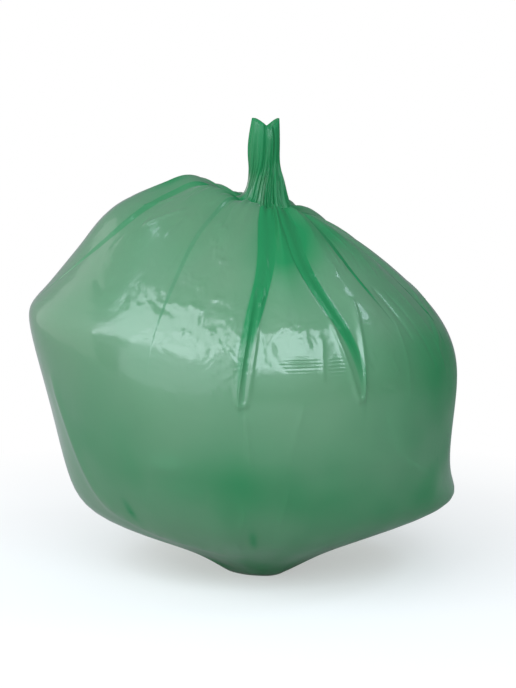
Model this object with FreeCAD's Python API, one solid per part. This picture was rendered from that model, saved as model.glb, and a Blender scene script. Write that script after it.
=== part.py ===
import FreeCAD, Part
import math
import os

# A filled bin bag of thin translucent film, standing on its bottom with its neck gathered shut.
# One closed solid has the outer form of the film: the puffed body on its small flat foot, the
# shoulders drawn in by pleats, the fluted neck and the open mouth above it. The film runs in
# straight-ruled strips between lines that go down from the mouth's rim to the foot.
# Millimetres, +Z up, +X to the right of the photograph, -Y towards its viewer.
# Bearings are in degrees round the neck: 0 is the front, 90 the right, 180 the back.

# Reach of the body from the neck's axis, each way, at its widest
REACH_LEFT = 187.0
REACH_RIGHT = 151.0
REACH_FRONT = 149.0
REACH_BACK = 151.0

# Heights above the floor
SHOULDER_HEIGHT = 300.0
NECK_HEIGHT = 322.0
TAIL_HEIGHT = 344.0
RIM_HEIGHT = 355.0
HORN_HEIGHT = 8.0

# The gathered neck and the mouth end above it, as half widths and half depths
THROAT_RADIUS = 14.5
NECK_HALF_WIDTH = 12.0
NECK_HALF_DEPTH = 10.5
TAIL_HALF_WIDTH = 12.5
TAIL_HALF_DEPTH = 10.0
RIM_HALF_WIDTH = 12.0
RIM_HALF_DEPTH = 8.0
NECK_TWIST = 24.0

# The open mouth: the bunched film's wall and how deep the mouth goes down
MOUTH_WALL = 1.8
MOUTH_DEPTH = 16.0
MOUTH_NARROWING = 0.55

# Pleats: how deep their folds are on the body, in the neck and in the tail, how wide they are, and
# how far the film puffs out between them
PLEAT_DEPTH = 5.5
NECK_PLEAT_DEPTH = 2.2
TAIL_PLEAT_DEPTH = 0.7
PLEAT_HALF_WIDTH = 5.5
NECK_PLEAT_HALF_ANGLE = 5.0
PANEL_PUFF = 1.8

# Each level of the body is one ring. A pair gives the share of that side's reach and the share of
# the shoulder's height, for the left, right, front and back; the last number is the squareness of
# the ring in plan: 2 is an ellipse, and less pinches it towards the ends of the bottom seal.
BODY_LEVELS = [
    ((0.145, 0.998), (0.150, 0.955), (0.155, 0.968), (0.165, 0.985), 2.0),
    ((0.280, 1.045), (0.250, 0.932), (0.280, 0.980), (0.310, 0.990), 2.0),
    ((0.420, 1.028), (0.410, 0.897), (0.430, 0.952), (0.465, 0.972), 2.0),
    ((0.615, 0.968), (0.570, 0.845), (0.600, 0.892), (0.640, 0.914), 2.0),
    ((0.775, 0.880), (0.728, 0.782), (0.768, 0.806), (0.800, 0.822), 2.0),
    ((0.940, 0.760), (0.890, 0.698), (0.910, 0.700), (0.922, 0.708), 2.1),
    ((1.000, 0.672), (1.000, 0.570), (1.000, 0.560), (1.000, 0.566), 2.1),
    ((0.930, 0.483), (0.990, 0.420), (0.985, 0.425), (0.985, 0.430), 2.1),
    ((0.858, 0.280), (0.990, 0.262), (0.885, 0.273), (0.885, 0.273), 2.0),
    ((0.765, 0.172), (0.972, 0.186), (0.750, 0.165), (0.750, 0.165), 1.8),
    ((0.505, 0.100), (0.560, 0.110), (0.520, 0.084), (0.520, 0.084), 1.75),
    ((0.285, 0.036), (0.255, 0.036), (0.320, 0.028), (0.320, 0.028), 1.8),
]

# The small flat spot on which the full bag stands, as half lengths from the neck's axis
SPOT_LEFT = 36.0
SPOT_RIGHT = 19.0
SPOT_HALF_DEPTH = 32.0

# Each pleat: its bearing low on the body, how far round it drifts on its way up to the gather, the
# body level where it lets go, and its depth as a share of PLEAT_DEPTH
PLEATS = [
    (-7.0, 7.0, 7.2, 1.0),
    (27.0, -13.0, 7.2, 1.0),
    (45.0, -9.0, 5.4, 0.4),
    (67.0, 0.0, 6.2, 0.3),
    (85.0, 0.0, 5.2, 0.35),
    (106.0, 0.0, 4.6, 0.8),
    (128.0, 0.0, 6.4, 0.7),
    (149.0, 0.0, 4.2, 0.8),
    (171.0, 0.0, 6.8, 0.9),
    (194.0, 0.0, 4.6, 0.7),
    (216.0, 0.0, 6.0, 0.9),
    (238.0, 0.0, 4.4, 0.8),
    (256.0, 0.0, 5.4, 0.7),
    (274.0, 22.0, 5.6, 0.5),
    (328.0, 0.0, 6.4, 0.2),
]

# The body level below which a pleat keeps its bearing, and the level above which it has drifted
DRIFT_LEVELS = (3.0, 6.0)

# Across one panel of film, from one pleat's valley to the next: the place, counted in pleat half
# widths from the first valley or back from the second, and the depth as a share of that valley's.
# A panel climbs slowly out of its first valley and drops steeply over a lip into its second. Its
# middle is cut into strips about STRIP_ANGLE wide, in degrees.
CLIMB = (1.0, 0.06)
LIP = (0.55, -0.12)
STRIP_ANGLE = 8.0

NECK_X = (REACH_LEFT - REACH_RIGHT) / 2
NECK_Y = (REACH_FRONT - REACH_BACK) / 2


def smooth(x):
    """Runs from 0 to 1 with level ends as x runs from 0 to 1."""
    x = min(max(x, 0.0), 1.0)
    return x * x * (3 - 2 * x)


def ring_point(bearing, sides, squareness, twist=0.0):
    """A point of a ring given as (reach, height) for the left, right, front and back."""
    left, right, front, back = sides
    across = math.sin(math.radians(bearing))
    ahead = math.cos(math.radians(bearing))
    side = right if across > 0 else left
    face = front if ahead > 0 else back
    size = abs(across / side[0]) ** squareness + abs(ahead / face[0]) ** squareness
    reach = size ** (-1 / squareness)
    height = side[1] * across**2 + face[1] * ahead**2
    turn = math.radians(bearing + twist)
    return FreeCAD.Vector(NECK_X + reach * math.sin(turn), NECK_Y - reach * math.cos(turn), height)


def neck_sides(half_width, half_depth, height, horn=0.0):
    """The four sides of a ring of the neck or tail; its ends rise by horn."""
    return [(half_width, height + horn)] * 2 + [(half_depth, height)] * 2


def body_sides(level):
    """The four sides of one body level, in millimetres."""
    reaches = (REACH_LEFT, REACH_RIGHT, REACH_FRONT, REACH_BACK)
    return [(share * reach, rise * SHOULDER_HEIGHT) for (share, rise), reach in zip(level, reaches)]


def film_rings():
    """Every ring of the film from the rim down to the foot: sides, squareness, twist, level."""
    throat = (THROAT_RADIUS, THROAT_RADIUS, (NECK_HEIGHT + SHOULDER_HEIGHT) / 2)
    neck = (NECK_HALF_WIDTH, NECK_HALF_DEPTH, NECK_HEIGHT)
    tail = (TAIL_HALF_WIDTH, TAIL_HALF_DEPTH, TAIL_HEIGHT)
    rim = (RIM_HALF_WIDTH, RIM_HALF_DEPTH, RIM_HEIGHT, HORN_HEIGHT)
    rings = [
        (neck_sides(*rim), 2.0, NECK_TWIST, -5),
        (neck_sides(*tail), 2.0, NECK_TWIST, -4),
        (neck_sides(*neck), 2.0, NECK_TWIST * 0.6, -3),
        (neck_sides(*throat), 2.0, NECK_TWIST * 0.2, -2),
    ]
    for number, level in enumerate(BODY_LEVELS):
        rings.append((body_sides(level[:4]), level[4], 0.0, number))
    spot = [(SPOT_LEFT, 0.0), (SPOT_RIGHT, 0.0), (SPOT_HALF_DEPTH, 0.0), (SPOT_HALF_DEPTH, 0.0)]
    rings.append((spot, 2.0, 0.0, len(BODY_LEVELS)))
    return rings


def pleat_bearing(number, level):
    """The bearing of a pleat's valley at a body level."""
    bearing, drift = PLEATS[number][:2]
    high, low = DRIFT_LEVELS
    return bearing + drift * (1 - smooth((level - high) / (low - high)))


def pleat_depth(level, lets_go, share):
    """How deep a pleat is at a body level. It is shallow in the tail and fades where it lets go."""
    if level <= -4:
        return TAIL_PLEAT_DEPTH
    if level < 0:
        return NECK_PLEAT_DEPTH
    fade = 1 - smooth((level - lets_go + 3) / 3)
    grow = smooth((level + 1) / 2)
    return (NECK_PLEAT_DEPTH + (PLEAT_DEPTH * share - NECK_PLEAT_DEPTH) * grow) * fade


def pleat_half_angle(level):
    """Half the width of a pleat seen from the neck's axis, in degrees. It narrows as it goes out."""
    body = math.degrees(PLEAT_HALF_WIDTH / REACH_FRONT)
    return body + (NECK_PLEAT_HALF_ANGLE - body) * (1 - smooth(level / 4))


def panel_columns(number, level):
    """The points of one ring across one panel, but its last, as (bearing, depth)."""
    following = (number + 1) % len(PLEATS)
    turn = 360 * (following == 0)
    strips = max(round((PLEATS[following][0] + turn - PLEATS[number][0]) / STRIP_ANGLE), 2)
    half = pleat_half_angle(level)
    depth = pleat_depth(level, *PLEATS[number][2:])
    far_depth = pleat_depth(level, *PLEATS[following][2:])
    first = pleat_bearing(number, level)
    second = pleat_bearing(following, level) + turn
    climb = (first + CLIMB[0] * half, CLIMB[1] * depth)
    lip = (second - LIP[0] * half, LIP[1] * far_depth)
    puff = PANEL_PUFF * smooth((level + 1) / 2) * (1 - smooth((level - 2) / 4))
    apart = (lip[0] - climb[0]) / strips
    middle = [(climb[0] + apart * step, -puff) for step in range(1, strips)]
    return [(first, depth), climb, *middle, lip]


def down_parameters(rings):
    """Common parameters for the rings: the length down the front of the film, ring by ring."""
    line = [ring_point(0, *ring[:3]) for ring in rings]
    steps = [0.0]
    for upper, lower in zip(line, line[1:]):
        steps.append(steps[-1] + (upper - lower).Length)
    return steps


def down_curve(number, column, rings):
    """One line of the film from the rim down to the foot, pressed in where it follows a pleat."""
    points = []
    for place, (sides, squareness, twist, level) in enumerate(rings):
        above = rings[max(place - 1, 0)]
        below = rings[min(place + 1, len(rings) - 1)]
        bearing, depth = panel_columns(number, level)[column]
        point = ring_point(bearing, sides, squareness, twist)
        along = ring_point(bearing, *below[:3]) - ring_point(bearing, *above[:3])
        round_it = ring_point(bearing + 1, sides, squareness, twist) - point
        normal = round_it.cross(along)
        normal.normalize()
        points.append(point if place == len(rings) - 1 else point + normal * depth)
    curve = Part.BSplineCurve()
    curve.interpolate(Points=points, Parameters=down_parameters(rings))
    return curve


def strip(line, following):
    """The straight-ruled strip of film between two neighbouring lines."""
    surface = Part.BSplineSurface()
    poles = [line.getPoles(), following.getPoles()]
    down = (line.getMultiplicities(), line.getKnots(), line.Degree)
    surface.buildFromPolesMultsKnots(poles, [2, 2], down[0], [0, 1], down[1], False, False, 1, down[2])
    return surface.toShape()


def mouth_point(rim, inset, narrowing, drop):
    """A point of the mouth's inside, below a point of its rim and nearer the neck's axis."""
    arm = FreeCAD.Vector(rim.x - NECK_X, rim.y - NECK_Y, 0)
    arm = arm * ((arm.Length - inset) / arm.Length * narrowing)
    floor = RIM_HEIGHT - MOUTH_DEPTH
    return FreeCAD.Vector(NECK_X + arm.x, NECK_Y + arm.y, rim.z + (floor - rim.z) * drop)


def ruled(first_row, second_row):
    """The ruled faces between two rows of points."""
    faces = []
    for place in range(len(first_row) - 1):
        first = Part.makeLine(first_row[place], first_row[place + 1])
        second = Part.makeLine(second_row[place], second_row[place + 1])
        faces.append(Part.makeRuledSurface(first, second))
    return faces


def bag():
    """The whole bag: strips of film, the rim's thick edge, the inside of the mouth and the foot."""
    rings = film_rings()
    lines = []
    for number in range(len(PLEATS)):
        for column in range(len(panel_columns(number, 0))):
            lines.append(down_curve(number, column, rings))
    lines.append(lines[0])
    faces = [strip(line, following) for line, following in zip(lines, lines[1:])]
    rim = [line.getPoles()[0] for line in lines]
    inner = [mouth_point(point, MOUTH_WALL, 1.0, 0.0) for point in rim]
    floor = [mouth_point(point, MOUTH_WALL, MOUTH_NARROWING, 1.0) for point in rim]
    faces += ruled(rim, inner) + ruled(inner, floor)
    faces.append(Part.Face(Part.makePolygon(floor)))
    faces.append(Part.Face(Part.makePolygon([line.getPoles()[-1] for line in lines])))
    shell = Part.makeShell(faces)
    shell.sewShape()
    solid = Part.makeSolid(shell)
    if solid.Volume < 0:
        solid.reverse()
    return solid


os.makedirs("parts", exist_ok=True)
filled_bag = bag()
box = filled_bag.optimalBoundingBox(False)
filled_bag.translate(FreeCAD.Vector(-box.Center.x, -box.Center.y, 0))
filled_bag.exportStep("parts/filled_bag.step")
print("valid", filled_bag.isValid(), "litres", round(filled_bag.Volume / 1e6, 2))
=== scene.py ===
import math

import bpy
import numpy as np
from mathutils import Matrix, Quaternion, Vector


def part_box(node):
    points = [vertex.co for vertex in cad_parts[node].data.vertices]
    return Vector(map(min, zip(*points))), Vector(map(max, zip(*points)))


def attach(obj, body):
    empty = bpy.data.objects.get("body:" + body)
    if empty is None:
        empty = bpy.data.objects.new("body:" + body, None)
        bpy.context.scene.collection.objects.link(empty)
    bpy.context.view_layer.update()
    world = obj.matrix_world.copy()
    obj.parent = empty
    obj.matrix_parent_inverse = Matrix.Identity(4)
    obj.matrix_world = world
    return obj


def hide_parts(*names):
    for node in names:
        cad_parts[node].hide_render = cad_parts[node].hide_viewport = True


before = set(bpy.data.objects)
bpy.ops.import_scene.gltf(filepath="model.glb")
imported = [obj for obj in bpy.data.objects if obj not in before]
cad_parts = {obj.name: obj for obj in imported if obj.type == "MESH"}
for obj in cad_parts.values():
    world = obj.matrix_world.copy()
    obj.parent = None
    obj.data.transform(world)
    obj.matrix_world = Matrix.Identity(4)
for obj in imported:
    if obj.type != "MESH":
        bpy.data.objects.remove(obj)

bl_info = {
    "name": "Filled bin bag",
    "version": (1, 0, 0),
    "blender": (4, 5, 0),
    "location": "3D View > Sidebar > Bin Bag",
    "description": "Builds a puffed-out bag of thin green film with a gathered neck, and its stage",
    "category": "Add Mesh",
}

MM = 0.001
CAD_LOW, CAD_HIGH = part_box("filled_bag")
BAG_MIDDLE = (0.0, 0.0, CAD_HIGH[2] / 2)

# The neck's axis, from the left and front edges of the frame's box
NECK_FROM_LEFT = 187.2 * MM
NECK_FROM_FRONT = 149.6 * MM

# Each level of the body is one ring. A pair gives the share of that side's reach and the share of
# the shoulder's height, for the left, right, front and back; the last number is the squareness of
# the ring in plan: 2 is an ellipse, and less pinches it towards the ends of the bottom seal.
BODY_LEVELS = (
    ((0.145, 0.998), (0.150, 0.955), (0.155, 0.968), (0.165, 0.985), 2.0),
    ((0.280, 1.045), (0.250, 0.932), (0.280, 0.980), (0.310, 0.990), 2.0),
    ((0.420, 1.036), (0.410, 0.897), (0.430, 0.952), (0.465, 0.972), 2.0),
    ((0.620, 0.980), (0.570, 0.845), (0.600, 0.892), (0.640, 0.914), 2.0),
    ((0.775, 0.880), (0.728, 0.782), (0.768, 0.806), (0.800, 0.822), 2.0),
    ((0.940, 0.760), (0.890, 0.698), (0.910, 0.700), (0.922, 0.708), 2.1),
    ((1.000, 0.672), (1.000, 0.570), (1.000, 0.560), (1.000, 0.566), 2.1),
    ((0.930, 0.483), (0.990, 0.420), (0.985, 0.425), (0.985, 0.430), 2.1),
    ((0.858, 0.280), (0.990, 0.262), (0.885, 0.273), (0.885, 0.273), 2.0),
    ((0.765, 0.172), (0.972, 0.186), (0.750, 0.165), (0.750, 0.165), 1.8),
    ((0.505, 0.100), (0.560, 0.110), (0.520, 0.084), (0.520, 0.084), 1.75),
    ((0.285, 0.036), (0.255, 0.036), (0.320, 0.028), (0.320, 0.028), 1.8),
)

# Each pleat: its bearing low on the body, how far round it drifts on its way up to the gather, the
# level where it lets go, its depth as a share of the deepest, and its fold's half width in millimetres
PLEATS = (
    (-7.0, 7.0, 7.0, 0.4, 6.5),
    (27.0, -13.0, 6.9, 0.4, 6.5),
    (45.0, -9.0, 5.4, 0.3, 3.5),
    (67.0, 0.0, 6.2, 0.3, 4.0),
    (85.0, 0.0, 5.2, 0.35, 4.0),
    (106.0, 0.0, 4.6, 0.8, 5.0),
    (128.0, 0.0, 6.4, 0.7, 6.0),
    (149.0, 0.0, 4.2, 0.8, 4.5),
    (171.0, 0.0, 6.8, 0.9, 7.0),
    (194.0, 0.0, 4.6, 0.7, 4.5),
    (216.0, 0.0, 6.0, 0.9, 6.0),
    (238.0, 0.0, 4.4, 0.8, 4.5),
    (256.0, 0.0, 5.4, 0.7, 5.0),
    (274.0, 22.0, 5.6, 0.2, 3.0),
    (328.0, 0.0, 6.2, 0.15, 1.6),
)

# Levels between which a pleat drifts round
DRIFT_LEVELS = (3.0, 6.0)

# Single creases that the photograph shows: the bearing and level of each end, the depth in
# millimetres (ridges are negative) and the half width
CREASES = (
    (-4.2, 4.1, -7.9, 6.2, -2.0, 1.5),
    (-1.4, 4.1, -5.4, 6.2, -2.0, 1.5),
    (-8.0, 6.25, -5.4, 6.2, -1.6, 1.4),
    (19.5, 4.8, 25.0, 6.15, -1.8, 1.5),
    (30.0, 4.4, 27.0, 6.15, -2.0, 1.5),
    (24.8, 6.2, 27.2, 6.15, -1.6, 1.4),
    (43.0, 4.1, 48.0, 5.3, 0.9, 1.8),
    (43.5, 4.8, 42.5, 6.3, -0.5, 2.2),
    (74.0, 4.2, 62.0, 5.5, -1.2, 2.6),
    (-5.9, 6.4, -4.4, 7.2, -0.9, 1.8),
    (10.0, 6.2, 6.0, 7.2, -0.6, 2.2),
    (6.7, 7.7, 4.2, 8.5, -0.6, 2.2),
    (-7.0, 8.1, -12.0, 9.3, -0.7, 2.4),
    (-0.5, 4.2, -2.6, 4.45, -1.0, 1.2),
    (-55.4, 3.2, -46.0, 2.5, -1.4, 1.6),
    (-66.7, 2.8, -58.0, 2.2, -1.2, 1.6),
    (16.0, 5.1, 15.2, 5.8, -0.9, 1.1),
    (36.5, 3.7, 41.0, 4.4, -0.6, 1.2),
    (48.0, 4.2, 56.0, 5.9, 0.6, 2.0),
    (56.0, 4.0, 62.0, 6.0, -0.5, 2.0),
    (85.0, 4.0, 74.0, 4.9, -1.2, 2.8),
    (66.0, 4.9, 60.0, 5.6, -0.8, 1.6),
    (-66.0, 6.6, -58.0, 8.3, -2.4, 6.0),
    (-58.0, 8.3, -42.0, 9.0, -2.4, 6.0),
    (-42.0, 9.0, -20.0, 9.5, -2.0, 6.0),
)

# Patches where more film shows through or lies together near the gather, so its colour is deeper,
# patches of painted shade, deeper too, and, where negative, painted highlights and sheen, paler:
# bearing and level of the middle, half width and half height in the same, and how much
LAYERED_AND_PAINTED_LIGHT_PATCHES = (
    (7.0, 2.5, 13.0, 1.4, 0.8),
    (45.0, 2.4, 26.0, 1.3, 0.45),
    # Painted shade, darker over the bottom all round and over the lower front
    (0.0, 10.6, 360.0, 1.2, 0.4),
    (-17.0, 7.5, 32.0, 0.9, 0.55),
    (24.0, 8.1, 22.0, 0.8, 0.08),
    (-88.0, 1.9, 18.0, 0.6, 0.7),
    (-50.0, 3.5, 14.0, 0.6, 0.2),
    (-47.4, 8.4, 1.6, 0.25, 0.45),
    (-5.0, 8.9, 1.5, 0.25, 0.3),
    # Painted shade, darker down the right side
    (62.0, 6.0, 26.0, 3.0, 0.5),
    # Painted highlights, paler where the windows' reflections fall
    (-18.0, 4.8, 24.0, 1.6, -0.3),
    (36.0, 5.0, 9.0, 1.0, -0.25),
    (9.0, 5.4, 10.0, 1.2, -0.15),
    (-28.0, 6.8, 11.0, 0.6, -0.25),
    # Painted shade, darker at the lower right
    (75.0, 8.3, 26.0, 1.6, 0.2),
    # Painted sheen, paler along the lower left rim
    (-72.0, 7.3, 6.0, 0.9, -0.35),
    (-62.0, 8.4, 6.0, 0.5, -0.35),
    (-45.0, 9.1, 9.0, 0.35, -0.35),
    (-25.0, 9.6, 10.0, 0.3, -0.3),
)

# Patches where the film is crumpled, in the same form
CRUMPLED_PATCHES = (
    (-27.0, 4.8, 13.0, 0.8, 0.65),
    (-11.0, 5.1, 5.0, 0.6, 1.0),
    (-22.0, 3.2, 8.0, 1.0, 0.4),
    (8.0, 5.1, 12.0, 0.45, 0.8),
    (31.0, 4.6, 6.0, 0.5, 0.2),
    (60.0, 3.6, 30.0, 1.2, 0.3),
    (-80.0, 2.6, 24.0, 1.0, 0.25),
    (180.0, 3.6, 80.0, 1.6, 0.5),
)

# Stretch marks: short level ridges close together where the film was pulled
STRETCHED_PATCHES = ((9.6, 5.54, 3.6, 0.09, 1.0), (19.5, 5.6, 1.8, 0.12, 0.6))
STRETCH_PITCH = 2.6 * MM


def linear(colour):
    """The linear colour, with alpha, of an sRGB hex value."""
    parts = [int(colour[place : place + 2], 16) / 255 for place in (1, 3, 5)]
    return [p / 12.92 if p <= 0.04045 else ((p + 0.055) / 1.055) ** 2.4 for p in parts] + [1.0]


class BagSizes(bpy.types.PropertyGroup):
    """Sizes of the film bag."""

    reach_left: bpy.props.FloatProperty(
        name="Reach left", description="Neck's axis to the left side", default=187 * MM, unit="LENGTH"
    )
    reach_right: bpy.props.FloatProperty(
        name="Reach right", description="Neck's axis to the right side", default=151 * MM, unit="LENGTH"
    )
    reach_front: bpy.props.FloatProperty(
        name="Reach front", description="Neck's axis to the front", default=149 * MM, unit="LENGTH"
    )
    reach_back: bpy.props.FloatProperty(
        name="Reach back", description="Neck's axis to the back", default=151 * MM, unit="LENGTH"
    )
    shoulder_height: bpy.props.FloatProperty(
        name="Shoulder height", description="Floor to the gather's foot", default=300 * MM, unit="LENGTH"
    )
    neck_height: bpy.props.FloatProperty(
        name="Neck height", description="Floor to the tightest part", default=322 * MM, unit="LENGTH"
    )
    tail_height: bpy.props.FloatProperty(
        name="Tail height", description="Floor to the tail's widest part", default=344 * MM, unit="LENGTH"
    )
    rim_height: bpy.props.FloatProperty(
        name="Rim height", description="Floor to the lowest part of the rim", default=354 * MM, unit="LENGTH"
    )
    horn_height: bpy.props.FloatProperty(
        name="Horn height", description="Rise of the rim's two points", default=7 * MM, unit="LENGTH"
    )
    neck_half_width: bpy.props.FloatProperty(
        name="Neck half width", description="Of the neck and tail", default=12 * MM, unit="LENGTH"
    )
    neck_half_depth: bpy.props.FloatProperty(
        name="Neck half depth", description="Front to back", default=10.5 * MM, unit="LENGTH"
    )
    pleat_depth: bpy.props.FloatProperty(
        name="Pleat depth", description="Depth of the deepest pleats", default=5.5 * MM, unit="LENGTH"
    )
    neck_pleat_depth: bpy.props.FloatProperty(
        name="Neck pleat depth", description="Depth of the pleats in the neck", default=1.1 * MM,
        unit="LENGTH",
    )
    panel_puff: bpy.props.FloatProperty(
        name="Panel puff", description="Swelling of the film between pleats", default=1.8 * MM,
        unit="LENGTH",
    )
    flute_depth: bpy.props.FloatProperty(
        name="Flute depth", description="Of the small folds in the gather", default=0.6 * MM,
        unit="LENGTH",
    )
    mouth_depth: bpy.props.FloatProperty(
        name="Mouth depth", description="Rim to the mouth's floor", default=18 * MM, unit="LENGTH"
    )
    wrinkle_depth: bpy.props.FloatProperty(
        name="Wrinkle depth", description="Depth of the small wrinkles", default=0.5 * MM, unit="LENGTH"
    )


class BagColours(bpy.types.PropertyGroup):
    """Colours and gloss of the film."""

    film: bpy.props.FloatVectorProperty(
        name="Film", description="Light thrown back by one layer", size=4, subtype="COLOR",
        default=linear("#84b48c"),
    )
    folded: bpy.props.FloatVectorProperty(
        name="Folded film", description="Light thrown back where three layers lie together", size=4,
        subtype="COLOR", default=linear("#2b9a60"),
    )
    through: bpy.props.FloatVectorProperty(
        name="Seen through", description="Tint of what shows through", size=4, subtype="COLOR",
        default=linear("#9fd6b4"),
    )
    roughness: bpy.props.FloatProperty(
        name="Roughness", description="Of the film's gloss", default=0.14, min=0.0, max=1.0
    )
    haze: bpy.props.FloatProperty(
        name="Haze", description="Roughness of the gloss's milky part", default=0.5, min=0.0, max=1.0
    )


class StageLook(bpy.types.PropertyGroup):
    """Floor, lamps and camera."""

    floor: bpy.props.FloatVectorProperty(
        name="Floor", description="Colour of the floor", size=4, subtype="COLOR", default=linear("#b2b2b0")
    )
    elevation: bpy.props.FloatProperty(
        name="Camera elevation", description="Above the horizon", default=math.radians(8), subtype="ANGLE"
    )
    distance: bpy.props.FloatProperty(
        name="Camera distance", description="From the bag's middle", default=1.1, unit="LENGTH"
    )


def smooth(x):
    """Runs from 0 to 1 with level ends: 3x^2 - 2x^3, held at 0 and 1 outside."""
    x = np.clip(x, 0.0, 1.0)
    return x * x * (3 - 2 * x)


def spline(knots, values, at):
    """Natural cubic spline: second derivatives from the usual three-term equations at the knots,
    then the cubic between the two knots round each place."""
    gaps = np.diff(knots)
    slopes = np.diff(values, axis=0) / gaps[:, None]
    system = np.eye(len(knots))
    inner = np.arange(1, len(knots) - 1)
    system[inner, inner - 1] = gaps[:-1]
    system[inner, inner] = 2 * (gaps[:-1] + gaps[1:])
    system[inner, inner + 1] = gaps[1:]
    right = np.zeros_like(values)
    right[1:-1] = 6 * np.diff(slopes, axis=0)
    bend = np.linalg.solve(system, right)
    low = np.clip(np.searchsorted(knots, at) - 1, 0, len(gaps) - 1)
    gap = gaps[low][:, None]
    after = (at - knots[low])[:, None]
    before = gap - after
    cubic = (bend[low] * before**3 + bend[low + 1] * after**3) / (6 * gap)
    line = (values[low] / gap - bend[low] * gap / 6) * before
    return cubic + line + (values[low + 1] / gap - bend[low + 1] * gap / 6) * after


def film_rings(sizes):
    """The film's rings from the rim to the foot as rows of: left, right, front and back reach, the
    same four heights, squareness and twist in degrees."""
    s = sizes
    width, depth = s.neck_half_width, s.neck_half_depth
    throat = (s.neck_height + s.shoulder_height) / 2
    rim = s.rim_height
    horn = rim + s.horn_height
    rows = [
        [width, width * 0.9, depth * 0.76, depth * 0.76, horn, horn, rim, rim, 2.0, 24.0],
        [width * 1.25, width * 0.92] + [depth * 0.95] * 2 + [s.tail_height] * 4 + [2.0, 24.0],
        [width * 1.2, width * 0.95, depth, depth] + [s.neck_height] * 4 + [2.0, 14.4],
        [width * 1.2] * 4 + [throat] * 4 + [2.0, 4.8],
    ]
    reaches = np.array([s.reach_left, s.reach_right, s.reach_front, s.reach_back])
    for level in BODY_LEVELS:
        pairs = np.array(level[:4])
        rows.append([*(pairs[:, 0] * reaches), *(pairs[:, 1] * s.shoulder_height), level[4], 0.0])
    rows.append([36 * MM, 19 * MM, 32 * MM, 32 * MM, 0.0, 0.0, 0.0, 0.0, 2.0, 0.0])
    return np.array(rows)


def ring_points(rings, bearing):
    """Points of a grid: each row's ring in plan is a squircle |x/a|^n + |y/b|^n = 1 with its own reach
    on each side, and its height runs between the four sides' as the sine and cosine squared."""
    across, ahead = np.sin(bearing), np.cos(bearing)
    column = rings[:, :, None]
    side = np.where(across > 0, column[:, 1], column[:, 0])
    face = np.where(ahead > 0, column[:, 2], column[:, 3])
    rise = np.where(across > 0, column[:, 5], column[:, 4]) * across**2
    rise = rise + np.where(ahead > 0, column[:, 6], column[:, 7]) * ahead**2
    power = column[:, 8]
    reach = ((np.abs(across) / side) ** power + (np.abs(ahead) / face) ** power) ** (-1 / power)
    turn = bearing + np.radians(column[:, 9])
    neck = np.array([CAD_LOW[0] + NECK_FROM_LEFT, CAD_LOW[1] + NECK_FROM_FRONT])
    flat = np.stack([neck[0] + reach * np.sin(turn), neck[1] - reach * np.cos(turn)], axis=-1)
    return np.concatenate([flat, rise[..., None]], axis=-1), reach


def grid_normals(points):
    """Outward unit normals of a grid that closes round: the cross product of the two central
    differences."""
    round_it = np.roll(points, -1, axis=1) - np.roll(points, 1, axis=1)
    down = np.gradient(points, axis=0)
    normal = np.cross(down, round_it)
    return normal / np.maximum(np.linalg.norm(normal, axis=-1, keepdims=True), 1e-12)


def pleat_columns(level, reach, sizes):
    """Bearings, inward depths and layer counts of a grid whose columns are shared out between the
    pleats and the panels. Across a pleat t runs from -1 to 1, the film goes along t - k sin(pi t), so
    it doubles back on itself, and sinks as (1 + sin(pi t / 2)) / 2."""
    bearings, depths, layers = [], [], []
    count = len(PLEATS)
    high, low = DRIFT_LEVELS
    spread = smooth((level + 1) / 3)
    drifted = 1 - smooth((level - high) / (low - high))
    neck_depth = sizes.neck_pleat_depth * (0.15 + 0.85 * smooth((level + 3.5) / 2))
    lines = []
    for bearing, drift, lets_go, share, half in PLEATS:
        fade = 1 - smooth((level - lets_go + 2.5) / 2.5)
        width = np.degrees(half * MM / reach) * (0.25 + 0.75 * fade)
        depth = (neck_depth + (sizes.pleat_depth * share - neck_depth) * spread) * fade
        middle = (bearing + drift * drifted)[:, None]
        lines.append((middle, np.minimum(width, 5.5)[:, None], depth[:, None], fade, share))
    for number, (middle, width, depth, fade, share) in enumerate(lines):
        following = (number + 1) % count
        turn = 360 * (following == 0)
        next_middle, next_width, next_depth = lines[following][:3]
        aside = abs((PLEATS[number][0] + 180) % 360 - 180)
        fineness = 1.9 if aside < 50 else 1.2 if aside < 100 else 0.4
        t = np.linspace(-1, 1, 13 if aside < 100 else 7)[None, :-1]
        folded = (smooth(fade * 1.6) * smooth((level + 1.5) / 2) * smooth(share * 2.2))[:, None]
        doubling = (0.3 if aside > 100 else 0.1) * folded
        bearings.append(middle + width * (t - doubling * np.sin(np.pi * t)))
        depths.append(depth * (1 + np.sin(np.pi * t / 2)) / 2)
        overlap = np.clip(1.15 - np.abs(t), 0, 1) * np.ones_like(folded)
        together = (1 - 0.6 * smooth((level - 4.2) / 1.6))[:, None]
        layers.append(smooth(overlap * 2.2) * folded * together)
        gap = PLEATS[following][0] + turn - PLEATS[number][0]
        steps = max(round(gap * fineness), 5)
        f = np.linspace(0, 1, steps, endpoint=False)[None]
        start, stop = middle + width, next_middle + turn - next_width
        bearings.append(start + (stop - start) * f)
        puff = sizes.panel_puff * smooth((level + 1) / 2) * (1 - smooth((level - 2) / 4))
        sink = depth * (1 - smooth(f / 0.55)) - puff[:, None] * np.sin(np.pi * f)
        depths.append(sink - 0.15 * next_depth * smooth((f - 0.7) / 0.3))
        layers.append(np.zeros_like(start * f))
    return np.concatenate(bearings, 1), np.concatenate(depths, 1), np.concatenate(layers, 1)


def soft_patches(bearing, level, patches):
    """Sum over patches of amount times exp(-(b / half width)^2 - (l / half height)^2), b and l being
    how far in bearing and level a place is from the patch's middle."""
    total = np.zeros_like(bearing)
    for middle_b, middle_l, half_b, half_l, amount in patches:
        turned = (bearing - middle_b + 180) % 360 - 180
        away = (turned / half_b) ** 2 + ((level - middle_l) / half_l) ** 2
        total += amount * np.exp(-away)
    return total


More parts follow.
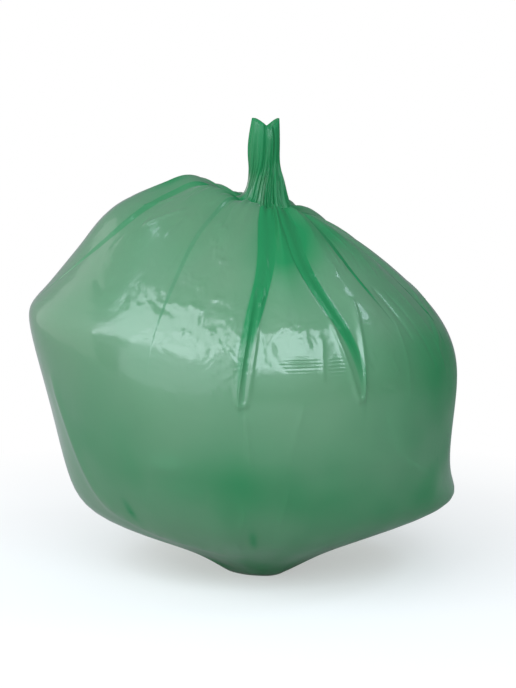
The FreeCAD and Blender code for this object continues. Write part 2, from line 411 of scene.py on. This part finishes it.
def crease_field(around, down, creases):
    """Sum over creases of depth times exp(-distance / half width), the distance being to a straight
    segment on the film laid flat. around and down are lengths on that film."""
    field = np.zeros_like(around)
    for start_a, start_d, end_a, end_d, depth, half in creases:
        run = np.array([end_a - start_a, end_d - start_d])
        length = max(float(np.hypot(*run)), 1e-6)
        along = ((around - start_a) * run[0] + (down - start_d) * run[1]) / length**2
        taper = smooth(np.minimum(along, 1 - along) * 4 + 0.5)
        along = np.clip(along, 0, 1)
        off = np.hypot(around - start_a - along * run[0], down - start_d - along * run[1])
        field += depth * np.exp(-off / half) * taper
    return field


def wrinkles(depth, girth, length):
    """Small creases scattered by a fixed seed: most run down from the gather, the rest lie any way
    on the upper half of the body, and a column of short level ones is left of the front pleat."""
    rng = np.random.default_rng(35)
    found = []
    for _ in range(90):
        start = (rng.uniform(-girth / 2, girth / 2), rng.uniform(0.16, 0.34) * length)
        run = rng.uniform(10, 40) * MM
        slope = rng.normal(0, 0.2)
        size = depth * rng.uniform(0.4, 1.3) * rng.choice([-1, 1])
        end = (start[0] + run * math.sin(slope), start[1] + run * math.cos(slope))
        found.append((*start, *end, size, rng.uniform(0.9, 2.0) * MM))
    for _ in range(120):
        start = (rng.uniform(-girth / 2, girth / 2), rng.uniform(0.2, 0.56) * length)
        run = rng.uniform(5, 16) * MM
        slope = rng.uniform(0, math.pi)
        size = depth * rng.uniform(0.3, 0.8) * rng.choice([-1, 1])
        end = (start[0] + run * math.sin(slope), start[1] + run * math.cos(slope))
        found.append((*start, *end, size, rng.uniform(0.9, 1.8) * MM))
    for _ in range(14):
        bearing, share = rng.uniform(-27, -15), rng.uniform(0.24, 0.46)
        middle = (bearing * girth / 360, share * length)
        half = rng.uniform(2.5, 5.5) * MM
        lift = rng.uniform(-1.2, 1.2) * MM
        left, right = (middle[0] - half, middle[1] + lift), (middle[0] + half, middle[1] - lift)
        found.append((*left, *right, -1.3 * depth, 1.4 * MM))
    return found


def film_grid(sizes):
    """The film as a grid of rows from the rim to the foot: the rings' spline, pressed in along its
    normals by the pleats, the flutes of the gather and the creases. Its fields are the layer count, the
    depth of colour of gathered film together with painted shade and painted highlights, how crumpled and
    how stretched the film is, and its place laid round a cylinder."""
    rings = film_rings(sizes)
    front = np.stack([rings[:, 2], rings[:, 6]], axis=1)
    knots = np.concatenate([[0], np.cumsum(np.linalg.norm(np.diff(front, axis=0), axis=1))])
    creased_end = np.interp(6.6, np.arange(len(knots)) - 4.0, knots)
    neck_rows = np.arange(0, knots[5], 2.4 * MM)
    creased_rows = np.arange(knots[5], creased_end, 1.8 * MM)
    taut_rows = np.linspace(creased_end, knots[-1], 28)
    down = np.concatenate([neck_rows, creased_rows, taut_rows])
    level = np.interp(down, knots, np.arange(len(knots)) - 4.0)
    rows = spline(knots, rings, down)
    degrees, depth, layers = pleat_columns(level, rows[:, 2], sizes)
    bearing = np.radians(degrees)
    points, _ = ring_points(rows, bearing)
    normal = grid_normals(points)
    radius = sizes.reach_front
    girth = 2 * math.pi * radius
    around = ((bearing + math.pi) % (2 * math.pi) - math.pi) * radius
    down_grid = np.broadcast_to(down[:, None], around.shape)
    placed = []
    for start_b, start_l, end_b, end_l, deep, half in CREASES:
        ends = np.interp([start_l, end_l], level, down)
        starts = np.array([start_b, end_b]) * girth / 360
        placed.append((starts[0], ends[0], starts[1], ends[1], deep * MM, half * MM))
    fine = wrinkles(sizes.wrinkle_depth, girth, down[-1])
    field = crease_field(around, down_grid, placed + fine)
    field *= smooth((level - 0.5) / 1.5)[:, None]
    flute = np.sin(37 * bearing + 2.2 * np.sin(5 * bearing) + 1.05 * level[:, None])
    flute = flute + 0.5 * np.sin(61 * bearing + 1.3)
    strength = sizes.flute_depth * smooth((level + 3) / 2) * (1 - smooth((level - 0.5) / 2.2))
    field = field + flute * strength[:, None]
    foot = smooth((level[-1] - level) / 0.8)[:, None]
    points = points - normal * ((depth + field) * foot)[..., None]
    gathered = 0.5 * (1 - smooth((level - 0.3) / 1.6)) + 0.2 * (1 - smooth(level + 2))
    fields = {
        "layers": layers,
        "depth_of_colour": 0.35 + gathered[:, None] + soft_patches(degrees, level[:, None], LAYERED_AND_PAINTED_LIGHT_PATCHES),
        "crumpled": 0.16 + soft_patches(degrees, level[:, None], CRUMPLED_PATCHES),
        "stretched": soft_patches(degrees, level[:, None], STRETCHED_PATCHES),
        "laid": np.stack([radius * np.sin(bearing), -radius * np.cos(bearing), down_grid], axis=-1),
    }
    return points, fields


def capped_grid(points, fields, sizes):
    """The grid with rows added inside the mouth, narrowing to its floor, and inward over the foot."""
    centre = points[0].mean(axis=0)
    inside = []
    for q in np.linspace(0.08, 1.0, 12):
        row = centre + (points[0] - centre) * (0.25 + 0.65 * q)
        row[:, 2] = points[0][:, 2] * q + (sizes.rim_height - sizes.mouth_depth) * (1 - q)
        inside.append(row)
    middle = points[-1].mean(axis=0)
    under = [middle + (points[-1] - middle) * share for share in (0.75, 0.5, 0.25)]
    full = np.concatenate([inside, points, under])
    extra = (len(inside), len(under))
    padded = {}
    for name, values in fields.items():
        padded[name] = np.pad(values, (extra,) + ((0, 0),) * (values.ndim - 1), mode="edge")
    return full, padded


def grid_mesh(name, points, fields):
    """A mesh of a grid that closes round, with a point closing each end. Each field becomes an
    attribute of its points."""
    rows, columns = points.shape[:2]
    ends = [points[0].mean(axis=0), points[-1].mean(axis=0)]
    vertices = np.concatenate([points.reshape(-1, 3), ends])
    place = np.arange(rows * columns).reshape(rows, columns)
    beside = np.roll(place, -1, axis=1)
    quads = np.stack([place[:-1], place[1:], beside[1:], beside[:-1]], axis=-1).reshape(-1, 4)
    top = np.full(columns, rows * columns)
    fans = [np.stack([top, place[0], beside[0]], axis=-1)]
    fans.append(np.stack([top + 1, beside[-1], place[-1]], axis=-1))
    mesh = bpy.data.meshes.new(name)
    mesh.from_pydata(vertices.tolist(), [], quads.tolist() + np.concatenate(fans).tolist())
    for label, values in fields.items():
        vector = values.ndim == 3
        attribute = mesh.attributes.new(label, "FLOAT_VECTOR" if vector else "FLOAT", "POINT")
        flat = values.reshape(rows * columns, -1)
        flat = np.concatenate([flat, values[0].mean(axis=0, keepdims=True).reshape(1, -1),
                               values[-1].mean(axis=0, keepdims=True).reshape(1, -1)])
        attribute.data.foreach_set("vector" if vector else "value", flat.ravel())
    mesh.polygons.foreach_set("use_smooth", np.ones(len(mesh.polygons), dtype=bool))
    mesh.update()
    return mesh


def add_node(tree, kind, inputs=(), **settings):
    """Adds a node, sets its properties, and sets or links its inputs by name or number."""
    node = tree.nodes.new(kind)
    for key, value in settings.items():
        setattr(node, key, value)
    for key, value in dict(inputs).items():
        if isinstance(value, bpy.types.NodeSocket):
            tree.links.new(value, node.inputs[key])
        else:
            node.inputs[key].default_value = value
    return node


def attribute_value(tree, name, output="Fac"):
    """One output of a mesh attribute."""
    return add_node(tree, "ShaderNodeAttribute", attribute_name=name).outputs[output]


def film_bump(tree):
    """The film's relief finer than its mesh: long soft swells all over, facets and fine ridges where
    it is crumpled, and level ridges where it is stretched."""
    laid = attribute_value(tree, "laid", "Vector")
    crumpled = attribute_value(tree, "crumpled")
    swell = add_node(tree, "ShaderNodeTexNoise", {"Vector": laid, "Scale": 13.0, "Detail": 1.0})
    normal = add_node(
        tree, "ShaderNodeBump", {"Height": swell.outputs["Fac"], "Strength": 1.0, "Distance": 3.5 * MM}
    ).outputs[0]
    waves = add_node(
        tree, "ShaderNodeTexNoise", {"Vector": laid, "Scale": 55.0, "Detail": 2.0, "Distortion": 0.4}
    )
    waves = add_node(
        tree, "ShaderNodeMath", {0: waves.outputs["Fac"], 1: crumpled}, operation="MULTIPLY"
    )
    normal = add_node(
        tree, "ShaderNodeBump",
        {"Height": waves.outputs[0], "Normal": normal, "Strength": 1.0, "Distance": 2.0 * MM},
    ).outputs[0]
    ridges = add_node(
        tree, "ShaderNodeTexNoise",
        {"Vector": laid, "Scale": 85.0, "Detail": 2.0, "Distortion": 0.5}, noise_type="RIDGED_MULTIFRACTAL",
    )
    ridges = add_node(
        tree, "ShaderNodeMath", {0: ridges.outputs["Fac"], 1: crumpled}, operation="MULTIPLY"
    )
    normal = add_node(
        tree, "ShaderNodeBump",
        {"Height": ridges.outputs[0], "Normal": normal, "Strength": 1.0, "Distance": 0.35 * MM},
    ).outputs[0]
    down = add_node(tree, "ShaderNodeSeparateXYZ", {0: laid}).outputs["Z"]
    turns = add_node(
        tree, "ShaderNodeMath", {0: down, 1: 2 * math.pi / STRETCH_PITCH}, operation="MULTIPLY"
    )
    wave = add_node(tree, "ShaderNodeMath", {0: turns.outputs[0]}, operation="SINE")
    stretched = attribute_value(tree, "stretched")
    marks = add_node(tree, "ShaderNodeMath", {0: wave.outputs[0], 1: stretched}, operation="MULTIPLY")
    return add_node(
        tree, "ShaderNodeBump",
        {"Height": marks.outputs[0], "Normal": normal, "Strength": 1.0, "Distance": 0.25 * MM},
    ).outputs[0]


def blown_polyethylene(colours):
    """Blown polyethylene film, dyed green. It is thin and milky: some light goes straight through,
    more is scattered on through it. Both its faces reflect, about 8% between them, which a single
    face of index 1.79 gives. Layers that lie together, and painted shade, are deeper in colour, hide more
    and reflect less; painted highlights are paler."""
    material = bpy.data.materials.new("blown_polyethylene_film")
    material.use_nodes = True
    tree = material.node_tree
    tree.nodes.clear()
    laid = attribute_value(tree, "laid", "Vector")
    layers = attribute_value(tree, "layers")
    cloud = add_node(tree, "ShaderNodeTexNoise", {"Vector": laid, "Scale": 9.0, "Detail": 2.0})
    shade = add_node(
        tree, "ShaderNodeMapRange",
        {"Value": cloud.outputs["Fac"], "From Min": 0.4, "From Max": 0.65, "To Min": -0.1, "To Max": 0.22},
    )
    # Colour runs from film to folded with the layers, gathered film, painted shade and highlights, and a random
    # drift in tone
    deep = add_node(
        tree, "ShaderNodeMath", {0: layers, 1: attribute_value(tree, "depth_of_colour")}, operation="ADD"
    )
    deep = add_node(
        tree, "ShaderNodeMath", {0: deep.outputs[0], 1: shade.outputs[0]}, operation="ADD", use_clamp=True
    ).outputs[0]
    colour = add_node(
        tree, "ShaderNodeMix",
        {0: deep, 6: tuple(colours.film), 7: tuple(colours.folded)}, data_type="RGBA",
    ).outputs[2]
    bump = film_bump(tree)
    milk = add_node(tree, "ShaderNodeBsdfDiffuse", {"Color": colour, "Normal": bump})
    glow = add_node(tree, "ShaderNodeBsdfTranslucent", {"Color": colour, "Normal": bump})
    body = add_node(tree, "ShaderNodeMixShader", {0: 0.45, 1: milk.outputs[0], 2: glow.outputs[0]})
    clear = add_node(tree, "ShaderNodeBsdfTransparent", {"Color": tuple(colours.through)})
    hiding = add_node(tree, "ShaderNodeMapRange", {"Value": deep, "To Min": 0.72, "To Max": 0.9})
    body = add_node(
        tree, "ShaderNodeMixShader", {0: hiding.outputs[0], 1: clear.outputs[0], 2: body.outputs[0]}
    )
    white = (1, 1, 1, 1)
    clean = add_node(
        tree, "ShaderNodeBsdfAnisotropic", {"Color": white, "Roughness": colours.roughness, "Normal": bump}
    )
    hazy = add_node(
        tree, "ShaderNodeBsdfAnisotropic", {"Color": white, "Roughness": colours.haze, "Normal": bump}
    )
    gloss = add_node(tree, "ShaderNodeMixShader", {0: 0.5, 1: clean.outputs[0], 2: hazy.outputs[0]})
    fresnel = add_node(tree, "ShaderNodeFresnel", {"IOR": 1.79, "Normal": bump})
    free = add_node(
        tree, "ShaderNodeMapRange",
        {"Value": deep, "From Min": 0.6, "From Max": 1.0, "To Min": 1.0, "To Max": 0.2},
    )
    share = add_node(
        tree, "ShaderNodeMath", {0: fresnel.outputs[0], 1: free.outputs[0]}, operation="MULTIPLY"
    )
    film = add_node(
        tree, "ShaderNodeMixShader", {0: share.outputs[0], 1: body.outputs[0], 2: gloss.outputs[0]}
    )
    add_node(tree, "ShaderNodeOutputMaterial", {"Surface": film.outputs[0]})
    return material


def add_object(name, mesh, material):
    """Puts a mesh into the scene with its material."""
    mesh.materials.append(material)
    thing = bpy.data.objects.new(name, mesh)
    bpy.context.collection.objects.link(thing)
    return thing


class BAG_OT_film(bpy.types.Operator):
    """Build the bag's film, from the open mouth to the foot"""

    bl_idname = "bag.film"
    bl_label = "Film"

    def execute(self, context):
        sizes = context.scene.bag_sizes
        mesh = grid_mesh("film", *capped_grid(*film_grid(sizes), sizes))
        film = add_object("film", mesh, blown_polyethylene(context.scene.bag_colours))
        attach(film, "root")
        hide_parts("filled_bag")
        return {"FINISHED"}


def floor_material(colour):
    """Matt card, whose own colour lights the bag from below. To the camera it is white card that
    takes the bag's shadow, and plain white far from the bag, so the background has no horizon."""
    material = bpy.data.materials.new("matt_card")
    material.use_nodes = True
    tree = material.node_tree
    tree.nodes.clear()
    ray = add_node(tree, "ShaderNodeLightPath").outputs["Is Camera Ray"]
    place = add_node(tree, "ShaderNodeTexCoord").outputs["Object"]
    far = add_node(tree, "ShaderNodeVectorMath", {0: place}, operation="LENGTH").outputs["Value"]
    share = add_node(
        tree, "ShaderNodeMapRange",
        {"Value": far, "From Min": 0.15, "From Max": 0.5, "To Min": 0.45, "To Max": 1.0},
    )
    card = add_node(tree, "ShaderNodeBsdfDiffuse", {"Color": tuple(colour)})
    pale = add_node(tree, "ShaderNodeBsdfDiffuse", {"Color": (0.9, 0.9, 0.9, 1)})
    white = add_node(tree, "ShaderNodeEmission", {"Color": (1, 1, 1, 1), "Strength": 1.0})
    seen = add_node(tree, "ShaderNodeMixShader", {0: share.outputs[0], 1: pale.outputs[0], 2: white.outputs[0]})
    both = add_node(tree, "ShaderNodeMixShader", {0: ray, 1: card.outputs[0], 2: seen.outputs[0]})
    add_node(tree, "ShaderNodeOutputMaterial", {"Surface": both.outputs[0]})
    return material


def studio_world(strength, mirrored):
    """A pale grey room all round. The camera sees it as white, and it is dimmer in reflections than
    as a light, as a room with dark things in it would be."""
    world = bpy.data.worlds.new("studio")
    world.use_nodes = True
    tree = world.node_tree
    tree.nodes.clear()
    rays = add_node(tree, "ShaderNodeLightPath").outputs
    pale = (0.9, 0.95, 1.0, 1)
    light = add_node(tree, "ShaderNodeBackground", {"Color": pale, "Strength": strength})
    mirror = add_node(tree, "ShaderNodeBackground", {"Color": pale, "Strength": mirrored})
    white = add_node(tree, "ShaderNodeBackground", {"Color": (1, 1, 1, 1), "Strength": 1.0})
    room = add_node(
        tree, "ShaderNodeMixShader", {0: rays["Is Glossy Ray"], 1: light.outputs[0], 2: mirror.outputs[0]}
    )
    both = add_node(
        tree, "ShaderNodeMixShader", {0: rays["Is Camera Ray"], 1: room.outputs[0], 2: white.outputs[0]}
    )
    add_node(tree, "ShaderNodeOutputWorld", {"Surface": both.outputs[0]})
    return world


def add_lamp(name, azimuth, elevation, distance, size, power, colour="#ffffff", roll=0.0):
    """A soft rectangular lamp turned to the bag's middle. Azimuth is 0 in front and 90 at the right.
    A negative roll lifts its left end."""
    data = bpy.data.lights.new(name, "AREA")
    data.shape = "RECTANGLE"
    data.size, data.size_y = size
    data.energy = power
    data.color = linear(colour)[:3]
    lamp = bpy.data.objects.new(name, data)
    turn, tilt = math.radians(azimuth), math.radians(elevation)
    arm = Vector((math.sin(turn) * math.cos(tilt), -math.cos(turn) * math.cos(tilt), math.sin(tilt)))
    lamp.location = Vector(BAG_MIDDLE) + arm * distance
    turned = (-arm).to_track_quat("-Z", "Y") @ Quaternion((0, 0, 1), math.radians(roll))
    lamp.rotation_euler = turned.to_euler()
    bpy.context.collection.objects.link(lamp)
    return lamp


class BAG_OT_stage(bpy.types.Operator):
    """Build the floor, the lamps and the camera"""

    bl_idname = "bag.stage"
    bl_label = "Stage"

    def execute(self, context):
        look = context.scene.bag_stage
        half = 6.0
        under = -0.3 * MM
        corners = [(-half, -half, under), (half, -half, under), (half, half, under), (-half, half, under)]
        mesh = bpy.data.meshes.new("floor")
        mesh.from_pydata(corners, [], [(0, 1, 2, 3)])
        floor = add_object("floor", mesh, floor_material(look.floor))
        context.scene.world = studio_world(0.49, 0.2)
        add_lamp("window", 14, 33, 1.9, (1.15, 0.8), 18.5, "#e2f3fb")
        add_lamp("left_window", -42, 40, 1.8, (1.5, 0.85), 18.5, "#e6f2fa", -12)
        add_lamp("low_left_window", -32, 12, 1.8, (1.2, 1.5), 10, "#e6f2fa", -12)
        add_lamp("high_left_window", -94, 60, 1.8, (0.3, 0.12), 0.5, "#ddf1ff")
        add_lamp("right_window", 80, 50, 1.9, (0.55, 0.5), 4.5, "#ddf1ff")
        add_lamp("left_fill", -100, 15, 2.0, (2.4, 2.0), 13)
        data = bpy.data.cameras.new("camera")
        data.sensor_width = 36.0
        height_seen = 0.552
        data.lens = data.sensor_width * look.distance / height_seen
        camera = bpy.data.objects.new("camera", data)
        target = Vector((0.011, 0.0, 0.182))
        back = Vector((0, -math.cos(look.elevation), math.sin(look.elevation)))
        camera.location = target + back * look.distance
        camera.rotation_euler = (-back).to_track_quat("-Z", "Y").to_euler()
        context.collection.objects.link(camera)
        context.scene.camera = camera
        context.scene.view_settings.view_transform = "Standard"
        return {"FINISHED"}


class BAG_PT_panel(bpy.types.Panel):
    """Sidebar panel that lists the bag's pieces and their sizes"""

    bl_idname = "BAG_PT_panel"
    bl_label = "Filled bin bag"
    bl_space_type = "VIEW_3D"
    bl_region_type = "UI"
    bl_category = "Bin Bag"

    def draw(self, context):
        for group in (context.scene.bag_sizes, context.scene.bag_colours, context.scene.bag_stage):
            for name in group.__annotations__:
                self.layout.prop(group, name)
        self.layout.operator("bag.film")
        self.layout.operator("bag.stage")


CLASSES = (BagSizes, BagColours, StageLook, BAG_OT_film, BAG_OT_stage, BAG_PT_panel)


def register():
    for cls in CLASSES:
        bpy.utils.register_class(cls)
    bpy.types.Scene.bag_sizes = bpy.props.PointerProperty(type=BagSizes)
    bpy.types.Scene.bag_colours = bpy.props.PointerProperty(type=BagColours)
    bpy.types.Scene.bag_stage = bpy.props.PointerProperty(type=StageLook)


def unregister():
    del bpy.types.Scene.bag_sizes
    del bpy.types.Scene.bag_colours
    del bpy.types.Scene.bag_stage
    for cls in reversed(CLASSES):
        bpy.utils.unregister_class(cls)


def main():
    register()
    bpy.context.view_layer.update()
    bpy.ops.bag.film()
    bpy.ops.bag.stage()


if __name__ == "__main__":
    main()
